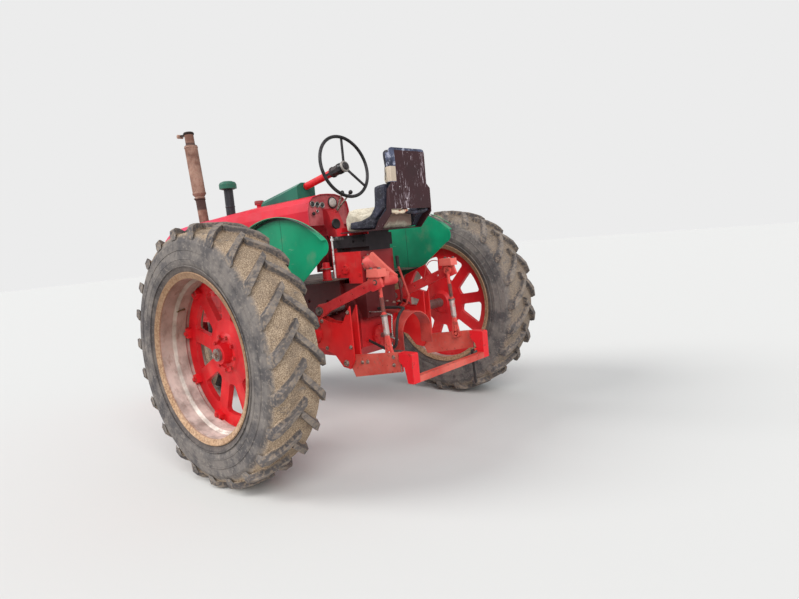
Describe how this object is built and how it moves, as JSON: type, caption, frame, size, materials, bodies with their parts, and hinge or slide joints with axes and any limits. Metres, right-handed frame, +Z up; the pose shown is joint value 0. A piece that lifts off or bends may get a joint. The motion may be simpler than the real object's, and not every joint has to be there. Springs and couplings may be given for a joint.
{
  "type": "farm tractor",
  "caption": "Row-crop farm tractor with a narrow steered front, wide-set lugged rear wheels, long hood, open seat and a rear two-arm lift with a hitch frame.",
  "frame": {"origin": "middle of the footprint on the ground, under the bounding box centre", "axes": "+X forwards, +Y to the driver's left, +Z up"},
  "size_m": [3.47, 2.622, 2.5411],
  "materials": {
    "red_paint": "satin",
    "hood_paint": "satin",
    "green_paint": "satin",
    "cast_red": "painted",
    "bare_steel": "worn",
    "rusty_steel": "rusty",
    "black_steel": "satin",
    "tyre": "dusty",
    "black_plastic": "matt",
    "seat_vinyl": "worn",
    "black_vinyl": "worn",
    "seat_steel": "scratched"
  },
  "bodies": {
    "chassis": {"axle_housing_left": "cast_red", "axle_housing_right": "cast_red", "clutch_housing": "cast_red", "control_pedestal": "red_paint", "deck_canister": "red_paint", "deck_plate": "black_steel", "drop_bracket_left": "red_paint", "drop_bracket_right": "red_paint", "engine_block": "cast_red", "exhaust_manifold": "rusty_steel", "fender_left": "green_paint", "fender_right": "green_paint", "frame_rail_left": "red_paint", "frame_rail_right": "red_paint", "front_bolster": "cast_red", "grille": "red_paint", "hood": "hood_paint", "hydraulic_dome": "red_paint", "instrument_panel": "red_paint", "lift_cover": "cast_red", "muffler": "rusty_steel", "oil_filter": "black_steel", "pre_cleaner": "green_paint", "pto_guard": "red_paint", "pto_shaft": "bare_steel", "radiator": "black_steel", "rear_case": "cast_red", "seat_backrest": "seat_vinyl", "seat_bolster_left": "black_vinyl", "seat_bolster_right": "black_vinyl", "seat_cushion": "seat_vinyl", "seat_pedestal": "red_paint", "seat_shell": "seat_steel", "seat_suspension": "black_steel", "shaft_fairing": "green_paint", "steering_column": "red_paint"},
    "rear_wheel_left": {"rear_tyre_left": "tyre", "rear_rim_left": "bare_steel", "wheel_centre_left": "cast_red", "axle_shaft_left": "bare_steel"},
    "front_wheel_left": {"front_tyre_left": "tyre", "front_rim_left": "red_paint"},
    "lift_rod_body_left": {"lift_rod_left": "red_paint"},
    "rear_wheel_right": {"rear_tyre_right": "tyre", "rear_rim_right": "bare_steel", "wheel_centre_right": "cast_red", "axle_shaft_right": "bare_steel"},
    "front_wheel_right": {"front_tyre_right": "tyre", "front_rim_right": "red_paint"},
    "lift_rod_body_right": {"lift_rod_right": "red_paint"},
    "steering_spindle": {"front_spindle": "cast_red"},
    "steering_wheel_body": {"steering_wheel": "black_plastic"},
    "rain_cap_body": {"rain_cap": "rusty_steel"},
    "lift_arms": {"rockshaft": "bare_steel", "lift_arm_left": "red_paint", "lift_arm_right": "red_paint"},
    "hitch_frame": {"hitch_side_left": "red_paint", "hitch_side_right": "red_paint", "hitch_crossbar": "red_paint"}
  },
  "joints": [
    {"name": "rear_wheel_left_turn", "type": "hinge", "parent": "chassis", "child": "rear_wheel_left", "pos_m": [-0.867, 1.135, 0.785], "axis": [0, 1, 0], "continuous": true},
    {"name": "rear_wheel_right_turn", "type": "hinge", "parent": "chassis", "child": "rear_wheel_right", "pos_m": [-0.867, -1.135, 0.785], "axis": [0, 1, 0], "continuous": true},
    {"name": "front_steering", "type": "hinge", "parent": "chassis", "child": "steering_spindle", "pos_m": [1.373, 0, 0.8], "axis": [0, 0, 1], "range_deg": [-55, 55]},
    {"name": "front_wheel_left_turn", "type": "hinge", "parent": "steering_spindle", "child": "front_wheel_left", "pos_m": [1.373, 0.15, 0.362], "axis": [0, 1, 0], "continuous": true},
    {"name": "front_wheel_right_turn", "type": "hinge", "parent": "steering_spindle", "child": "front_wheel_right", "pos_m": [1.373, -0.15, 0.362], "axis": [0, 1, 0], "continuous": true},
    {"name": "steering_wheel_turn", "type": "hinge", "parent": "chassis", "child": "steering_wheel_body", "pos_m": [-0.8528, 0, 1.9124], "axis": [-0.9813, 0, 0.1923], "range_deg": [-440, 440]},
    {"name": "rain_cap_lid", "type": "hinge", "parent": "chassis", "child": "rain_cap_body", "pos_m": [1.2478, 0, 2.5044], "axis": [0, 1, 0], "range_deg": [0, 70]},
    {"name": "lift_arms_raise", "type": "hinge", "parent": "chassis", "child": "lift_arms", "pos_m": [-0.927, 0, 0.93], "axis": [0, 1, 0], "range_deg": [-15, 9]},
    {"name": "lift_rod_left_swing", "type": "hinge", "parent": "lift_arms", "child": "lift_rod_body_left", "pos_m": [-1.472, 0.353, 1.12], "axis": [0, 1, 0], "range_deg": [-8.2, 13]},
    {"name": "lift_rod_right_swing", "type": "hinge", "parent": "lift_arms", "child": "lift_rod_body_right", "pos_m": [-1.472, -0.353, 1.12], "axis": [0, 1, 0], "range_deg": [-8.2, 13]},
    {"name": "hitch_frame_raise", "type": "hinge", "parent": "chassis", "child": "hitch_frame", "pos_m": [-1.167, 0, 0.59], "axis": [0, 1, 0], "range_deg": [-24.3, 14.6]}
  ],
  "couplings": [
    {"joint": "steering_wheel_turn", "follows": "front_steering", "ratio": 8},
    {"joint": "lift_rod_left_swing", "follows": "lift_arms_raise", "ratio": -0.8},
    {"joint": "lift_rod_right_swing", "follows": "lift_arms_raise", "ratio": -0.8},
    {"joint": "hitch_frame_raise", "follows": "lift_arms_raise", "ratio": 1.61}
  ]
}
